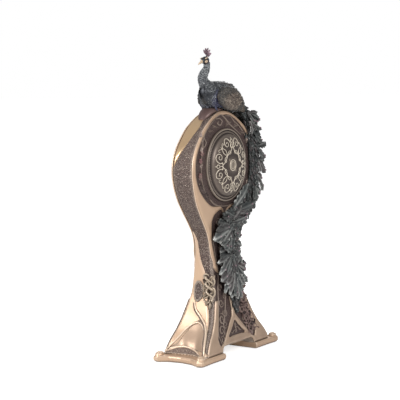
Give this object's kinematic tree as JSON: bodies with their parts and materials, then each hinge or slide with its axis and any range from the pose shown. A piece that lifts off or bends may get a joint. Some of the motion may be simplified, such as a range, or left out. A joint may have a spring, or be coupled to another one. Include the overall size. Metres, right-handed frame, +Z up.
{
  "type": "figural table clock",
  "caption": "Figural mantel clock with a waisted flared case, a peacock on the round head, its train down the rear edge and a scroll cover over the movement.",
  "frame": {"origin": "on the floor under the middle of the case", "axes": "+Z up, the dial faces -Y and the rear cover faces +Y, the bird looks towards +X"},
  "size_m": [0.194, 0.078, 0.4028],
  "materials": {
    "gold_bronze": "cold-cast resin, smooth polished pale gold bronze",
    "dark_bronze": "cold-cast resin, dark patina with a fine pebbled texture",
    "antique_bronze": "cold-cast resin, antique bronze with rubbed highlights",
    "peacock_paint": "hand painted dark blue grey, dry-brushed silver",
    "wing_paint": "hand painted brown gold scales",
    "crest_paint": "hand painted mauve",
    "feather_paint": "hand painted dark green grey, dry-brushed silver edges",
    "felt": "black felt",
    "clear_glass": "domed clear glass",
    "dial_ivory": "satin ivory enamel",
    "black_rubber": "black rubber",
    "brass_metal": "machined brass",
    "steel_metal": "plain steel",
    "black_plastic": "fine moulded black",
    "green_board": "green circuit board",
    "copper_wire": "enamelled copper winding",
    "battery_jacket": "plain dark battery jacket with a metal cap"
  },
  "bodies": {
    "root": {"case_body": "dark_bronze", "foot_right": "gold_bronze", "foot_left": "gold_bronze", "felt_pad_right_rear": "felt", "felt_pad_right_front": "felt", "felt_pad_left_rear": "felt", "felt_pad_left_front": "felt", "rear_frame": "gold_bronze", "front_frame": "gold_bronze", "rear_brace": "gold_bronze", "front_brace": "gold_bronze", "side_apron_right": "gold_bronze", "side_apron_left": "gold_bronze", "cartouche_right": "antique_bronze", "cartouche_left": "antique_bronze", "vine_knot": "gold_bronze", "dial_bezel": "gold_bronze", "dial_glass": "clear_glass", "dial_plate": "dial_ivory", "rubber_washer": "black_rubber", "mounting_nut": "brass_metal", "movement_case": "black_plastic", "circuit_board": "green_board", "stator": "steel_metal", "coil": "copper_wire", "movement_cover": "black_plastic", "battery": "battery_jacket", "battery_contact_positive": "brass_metal", "battery_contact_negative": "steel_metal", "peacock_body": "peacock_paint", "wing_rear": "wing_paint", "wing_front": "wing_paint", "peacock_crest": "crest_paint", "perch_branch": "dark_bronze", "train_shoulder": "feather_paint", "train_edge": "feather_paint", "train_sweep": "feather_paint", "train_fall": "feather_paint"},
    "minute_group": {"cannon_pinion": "brass_metal", "minute_hand": "black_plastic"},
    "hour_group": {"hour_wheel": "brass_metal", "hour_hand": "black_plastic"},
    "motion_group": {"motion_wheel": "brass_metal", "setting_knob": "black_plastic"},
    "second_group": {"second_wheel": "brass_metal", "second_hand": "black_plastic"},
    "centre_group": {"centre_wheel": "brass_metal"},
    "intermediate_group": {"intermediate_wheel": "brass_metal"},
    "third_group": {"third_wheel": "brass_metal"},
    "rotor_group": {"rotor": "steel_metal"},
    "cover_group": {"rear_cover": "antique_bronze", "cover_rosette": "antique_bronze"}
  },
  "joints": [
    {"name": "minute_turn", "type": "hinge", "parent": "root", "child": "minute_group", "pos_m": [0, 0, 0.25], "axis": [0, 1, 0], "continuous": true},
    {"name": "hour_turn", "type": "hinge", "parent": "root", "child": "hour_group", "pos_m": [0, 0, 0.25], "axis": [0, 1, 0], "continuous": true},
    {"name": "motion_turn", "type": "hinge", "parent": "root", "child": "motion_group", "pos_m": [0.012, 0, 0.25], "axis": [0, 1, 0], "continuous": true},
    {"name": "second_turn", "type": "hinge", "parent": "root", "child": "second_group", "pos_m": [0, 0, 0.25], "axis": [0, 1, 0], "continuous": true},
    {"name": "centre_turn", "type": "hinge", "parent": "root", "child": "centre_group", "pos_m": [0, 0, 0.25], "axis": [0, 1, 0], "continuous": true},
    {"name": "intermediate_turn", "type": "hinge", "parent": "root", "child": "intermediate_group", "pos_m": [-0.01224, 0, 0.25], "axis": [0, 1, 0], "continuous": true},
    {"name": "third_turn", "type": "hinge", "parent": "root", "child": "third_group", "pos_m": [0, 0, 0.2619], "axis": [0, 1, 0], "continuous": true},
    {"name": "rotor_turn", "type": "hinge", "parent": "root", "child": "rotor_group", "pos_m": [0.00636, 0, 0.26826], "axis": [0, 1, 0], "continuous": true},
    {"name": "cover_pull", "type": "slide", "parent": "root", "child": "cover_group", "axis": [0, 1, 0], "range_m": [0, 0.03]}
  ],
  "couplings": [
    {"joint": "hour_turn", "follows": "minute_turn", "ratio": 0.083333},
    {"joint": "motion_turn", "follows": "minute_turn", "ratio": -0.33333},
    {"joint": "intermediate_turn", "follows": "second_turn", "ratio": -0.13333},
    {"joint": "centre_turn", "follows": "second_turn", "ratio": 0.016667},
    {"joint": "third_turn", "follows": "second_turn", "ratio": -7.5},
    {"joint": "rotor_turn", "follows": "second_turn", "ratio": 30}
  ]
}
